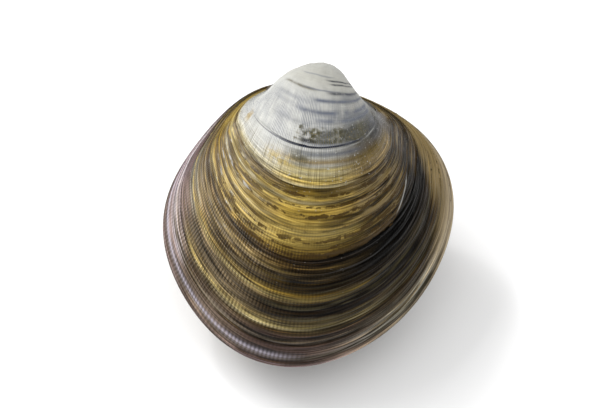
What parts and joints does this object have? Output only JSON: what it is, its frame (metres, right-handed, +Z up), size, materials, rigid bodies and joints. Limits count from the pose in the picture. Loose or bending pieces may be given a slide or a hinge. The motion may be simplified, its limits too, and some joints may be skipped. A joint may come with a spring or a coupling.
{
  "type": "clam shell",
  "caption": "Closed clam: two rounded, swollen valves with fine growth lines and worn pale umbones, held by a short brown ligament, resting on a small flat spot.",
  "frame": {"origin": "centre of the object's box, on the surface that it rests on", "axes": "+X towards the clam's front end, where the beaks point; +Y towards the umbones and the hinge; +Z up, with the right valve on top"},
  "size_m": [0.0438, 0.0462, 0.0307],
  "materials": {
    "shell": "glossy shell skin in bands of ochre, olive, dark brown and mauve, with a chalky pale umbo",
    "ligament": "dark brown horn, satin"
  },
  "bodies": {
    "root": {"right_valve": "shell", "left_valve": "shell", "ligament": "ligament"}
  },
  "joints": []
}
